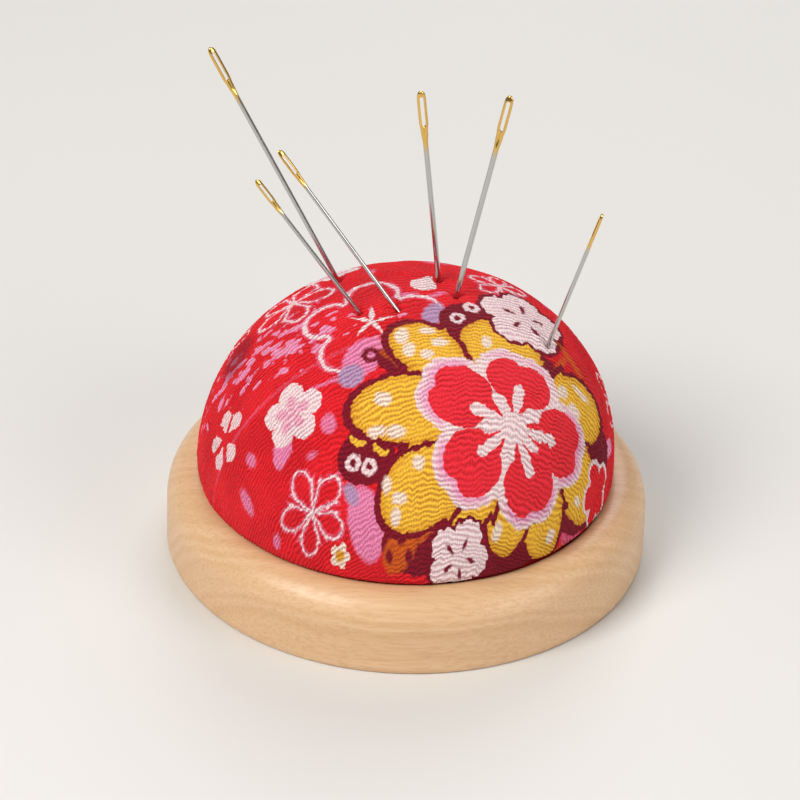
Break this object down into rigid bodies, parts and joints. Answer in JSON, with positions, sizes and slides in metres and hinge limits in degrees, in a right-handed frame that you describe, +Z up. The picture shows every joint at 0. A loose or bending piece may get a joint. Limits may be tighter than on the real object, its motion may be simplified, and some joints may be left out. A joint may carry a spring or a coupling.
{
  "type": "pin cushion",
  "caption": "Domed printed-cloth pin cushion gathered over wadding and glued into a turned wooden base, with sewing needles that pull out and push in.",
  "frame": {"origin": "centre of the wooden base's underside, on the surface it stands on", "axes": "+Z up out of the dome, +X to the right seen from the front, front towards -Y"},
  "size_m": [0.08, 0.08, 0.0854],
  "materials": {
    "wood": "fine sanded and waxed, satin",
    "glue": "hot-melt adhesive",
    "card": "grey-brown board",
    "wadding": "loose polyester fibre",
    "cloth": "printed cotton crepe",
    "thread": "spun sewing thread",
    "needle_steel": "polished, with gold-plated eyes"
  },
  "bodies": {
    "cushion": {"wooden_base": "wood", "glue_pad": "glue", "backing_card": "card", "cushion_filling": "wadding", "cushion_cover": "cloth", "gathering_thread": "thread"},
    "needle_1": {"needle_1": "needle_steel"},
    "needle_2": {"needle_2": "needle_steel"},
    "needle_3": {"needle_3": "needle_steel"},
    "needle_4": {"needle_4": "needle_steel"},
    "needle_5": {"needle_5": "needle_steel"},
    "needle_6": {"needle_6": "needle_steel"}
  },
  "joints": [
    {"name": "needle_1_slide", "type": "slide", "parent": "cushion", "child": "needle_1", "axis": [-0.457, 0.0392, 0.8886], "range_m": [-0.02, 0.0187]},
    {"name": "needle_2_slide", "type": "slide", "parent": "cushion", "child": "needle_2", "axis": [-0.5622, -0.0383, 0.8261], "range_m": [-0.02, 0.0158]},
    {"name": "needle_3_slide", "type": "slide", "parent": "cushion", "child": "needle_3", "axis": [-0.5936, 0.1469, 0.7912], "range_m": [-0.022, 0.0158]},
    {"name": "needle_4_slide", "type": "slide", "parent": "cushion", "child": "needle_4", "axis": [-0.1129, -0.0077, 0.9936], "range_m": [-0.018, 0.0183]},
    {"name": "needle_5_slide", "type": "slide", "parent": "cushion", "child": "needle_5", "axis": [0.2044, 0.1019, 0.9736], "range_m": [-0.018, 0.0185]},
    {"name": "needle_6_slide", "type": "slide", "parent": "cushion", "child": "needle_6", "axis": [0.299, 0.0452, 0.9532], "range_m": [-0.016, 0.0164]}
  ]
}
